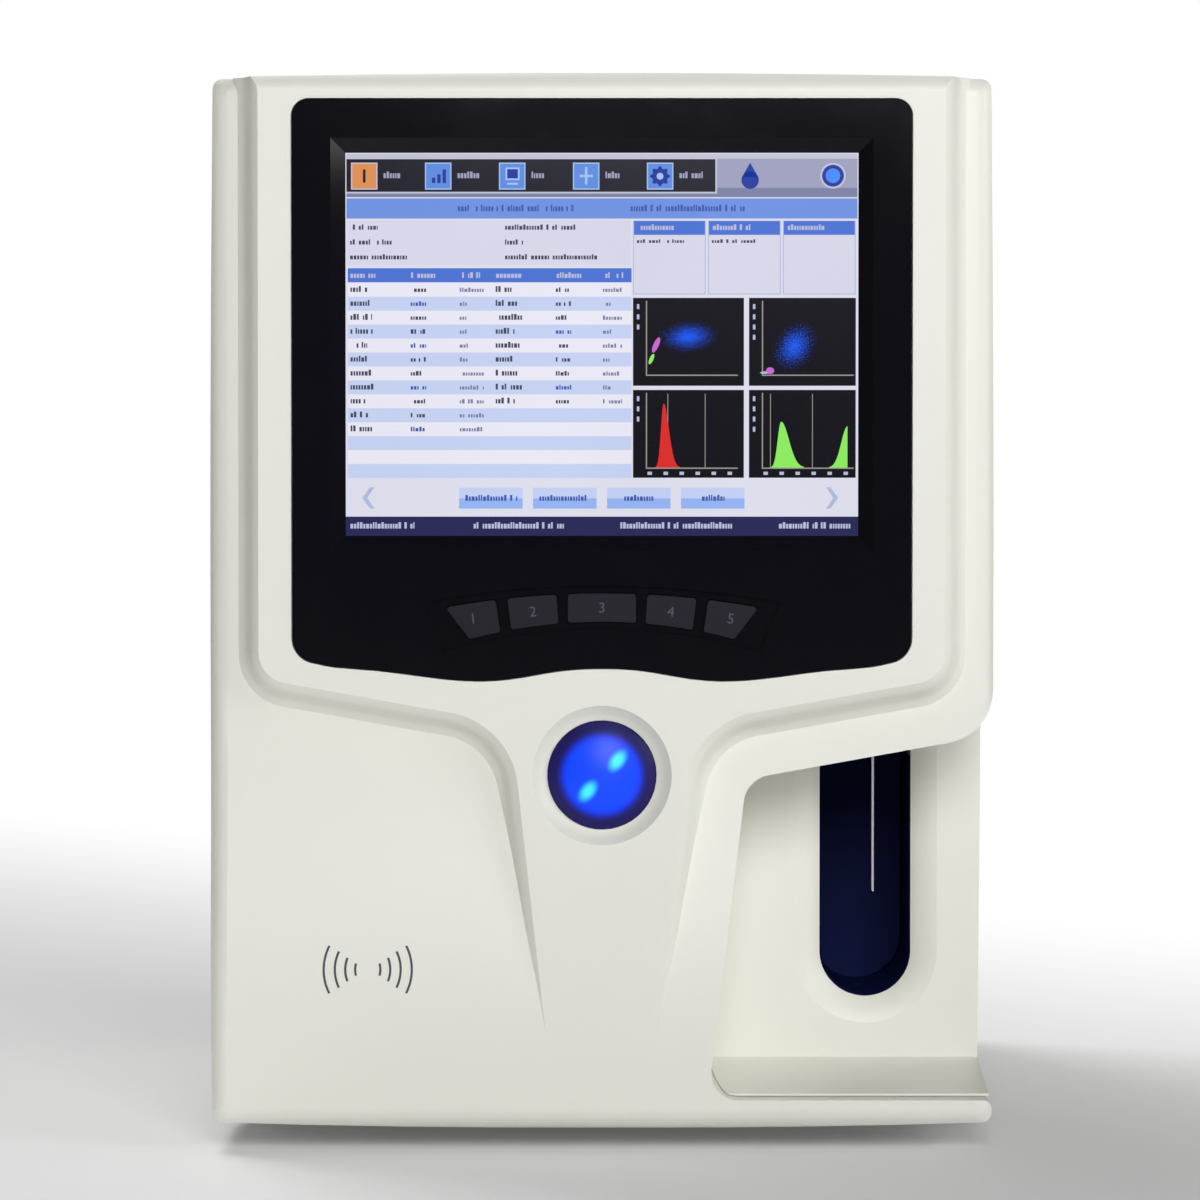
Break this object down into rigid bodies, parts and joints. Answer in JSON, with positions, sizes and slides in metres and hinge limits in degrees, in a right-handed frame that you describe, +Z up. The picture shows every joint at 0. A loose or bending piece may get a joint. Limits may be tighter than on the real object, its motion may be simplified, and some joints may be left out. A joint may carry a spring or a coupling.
{
  "type": "hematology analyzer",
  "caption": "Bench-top blood cell counter with a raised T-shaped face, touch screen over arched keys, lit start button and open sample bay with needle.",
  "frame": {"origin": "middle of the bounding box, on the surface that the feet rest on", "axes": "+Z up, front towards -Y, +X to the right seen from the front"},
  "size_m": [0.325, 0.45, 0.445],
  "materials": {
    "cover_plastic": "fine-textured off-white moulding",
    "bezel_black": "glossy black",
    "screen_glass": "glossy pane over the lit display",
    "key_grey": "dark satin",
    "start_blue": "lit blue dome",
    "shroud_dark": "dark navy",
    "panel_paint": "fine powder coat",
    "zinc_sheet": "zinc-plated sheet",
    "foot_rubber": "matt black",
    "screw_steel": "plated steel",
    "board_green": "solder mask",
    "black_plastic": "matt black moulding",
    "white_plastic": "white moulding",
    "machined_aluminium": "machined and anodised",
    "ground_steel": "ground bright steel",
    "clear_glass": "clear tube",
    "belt_black": "toothed rubber belt"
  },
  "bodies": {
    "case": {"front_cover": "cover_plastic", "bay_liner": "cover_plastic", "probe_shroud": "shroud_dark", "display_bezel": "bezel_black", "touch_screen": "screen_glass", "lcd_module": "zinc_sheet", "lcd_bracket": "zinc_sheet", "key_board": "board_green", "button_housing": "black_plastic", "button_board": "board_green", "card_reader_board": "board_green", "top_cover": "panel_paint", "base_plate": "zinc_sheet", "feet": "foot_rubber", "inner_frame": "zinc_sheet", "rear_panel": "panel_paint", "panel_screws": "screw_steel", "sampler_rail": "ground_steel", "sampler_motor": "black_plastic", "sampler_belt": "belt_black", "syringe_frame": "machined_aluminium", "syringe_barrels": "clear_glass", "syringe_motor": "black_plastic", "pump_housing": "black_plastic", "power_supply": "zinc_sheet", "vacuum_pump": "machined_aluminium", "waste_chamber": "white_plastic", "valve_block": "white_plastic", "mixing_baths": "white_plastic", "optics_bench": "machined_aluminium", "flow_cell": "clear_glass", "main_board": "board_green", "power_inlet": "black_plastic", "rocker_frame": "black_plastic", "reagent_ports": "white_plastic", "fan_housing": "black_plastic", "fan_guard": "screw_steel", "left_panel": "panel_paint", "right_panel": "panel_paint", "data_ports": "screw_steel"},
    "start_button": {"start_button": "start_blue"},
    "power_rocker": {"power_rocker": "black_plastic"},
    "fuse_drawer": {"fuse_drawer": "black_plastic"},
    "fan_rotor": {"fan_rotor": "black_plastic"},
    "drive_pulley": {"drive_pulley": "machined_aluminium"},
    "idler_pulley": {"idler_pulley": "machined_aluminium"},
    "carriage": {"sampler_carriage": "machined_aluminium", "guide_rods": "ground_steel", "lift_motor": "black_plastic"},
    "lift_screw": {"lift_screw": "ground_steel"},
    "probe": {"probe_block": "machined_aluminium", "needle": "ground_steel"},
    "syringe_plungers": {"syringe_plungers": "ground_steel"},
    "syringe_screw": {"syringe_screw": "ground_steel"},
    "pump_rotor": {"pump_rotor": "white_plastic"},
    "key_1": {"key_1": "key_grey"},
    "key_2": {"key_2": "key_grey"},
    "key_3": {"key_3": "key_grey"},
    "key_4": {"key_4": "key_grey"},
    "key_5": {"key_5": "key_grey"}
  },
  "joints": [
    {"name": "start_push", "type": "slide", "parent": "case", "child": "start_button", "axis": [0, 1, 0], "range_m": [0, 0.0025], "stiffness_N_per_m": 1200, "springref_m": -0.002},
    {"name": "key_1_push", "type": "slide", "parent": "case", "child": "key_1", "axis": [0, 1, 0], "range_m": [0, 0.001], "stiffness_N_per_m": 1500, "springref_m": -0.001},
    {"name": "key_2_push", "type": "slide", "parent": "case", "child": "key_2", "axis": [0, 1, 0], "range_m": [0, 0.001], "stiffness_N_per_m": 1500, "springref_m": -0.001},
    {"name": "key_3_push", "type": "slide", "parent": "case", "child": "key_3", "axis": [0, 1, 0], "range_m": [0, 0.001], "stiffness_N_per_m": 1500, "springref_m": -0.001},
    {"name": "key_4_push", "type": "slide", "parent": "case", "child": "key_4", "axis": [0, 1, 0], "range_m": [0, 0.001], "stiffness_N_per_m": 1500, "springref_m": -0.001},
    {"name": "key_5_push", "type": "slide", "parent": "case", "child": "key_5", "axis": [0, 1, 0], "range_m": [0, 0.001], "stiffness_N_per_m": 1500, "springref_m": -0.001},
    {"name": "rocker_tilt", "type": "hinge", "parent": "case", "child": "power_rocker", "pos_m": [-0.062, 0.202, 0.073], "axis": [1, 0, 0], "range_deg": [0, 16]},
    {"name": "fuse_pull", "type": "slide", "parent": "case", "child": "fuse_drawer", "axis": [0, 1, 0], "range_m": [0, 0.016]},
    {"name": "fan_spin", "type": "hinge", "parent": "case", "child": "fan_rotor", "pos_m": [-0.088, 0.193, 0.339], "axis": [0, 1, 0], "continuous": true},
    {"name": "sampler_travel", "type": "slide", "parent": "case", "child": "carriage", "axis": [0, 1, 0], "range_m": [0, 0.05]},
    {"name": "drive_pulley_turn", "type": "hinge", "parent": "case", "child": "drive_pulley", "pos_m": [0.082, -0.005, 0.345], "axis": [1, 0, 0], "range_deg": [-1, 416.2]},
    {"name": "idler_pulley_turn", "type": "hinge", "parent": "case", "child": "idler_pulley", "pos_m": [0.082, -0.111, 0.345], "axis": [1, 0, 0], "range_deg": [-1, 416.2]},
    {"name": "probe_lift", "type": "slide", "parent": "carriage", "child": "probe", "axis": [0, 0, 1], "range_m": [-0.025, 0.06]},
    {"name": "lift_screw_turn", "type": "hinge", "parent": "carriage", "child": "lift_screw", "pos_m": [0.105, -0.103, 0.259], "axis": [0, 0, 1], "range_deg": [-451, 1081]},
    {"name": "plunger_travel", "type": "slide", "parent": "case", "child": "syringe_plungers", "axis": [0, 0, 1], "range_m": [-0.045, 0]},
    {"name": "syringe_screw_turn", "type": "hinge", "parent": "case", "child": "syringe_screw", "pos_m": [0.096, 0.059, 0.159], "axis": [0, 0, 1], "range_deg": [-1081, 1]},
    {"name": "pump_spin", "type": "hinge", "parent": "case", "child": "pump_rotor", "pos_m": [0.084, 0.141, 0.104], "axis": [1, 0, 0], "continuous": true}
  ],
  "couplings": [
    {"joint": "drive_pulley_turn", "follows": "sampler_travel", "rad_per_m": 144.93},
    {"joint": "idler_pulley_turn", "follows": "sampler_travel", "rad_per_m": 144.93},
    {"joint": "lift_screw_turn", "follows": "probe_lift", "rad_per_m": 314.16},
    {"joint": "syringe_screw_turn", "follows": "plunger_travel", "rad_per_m": 418.88}
  ]
}
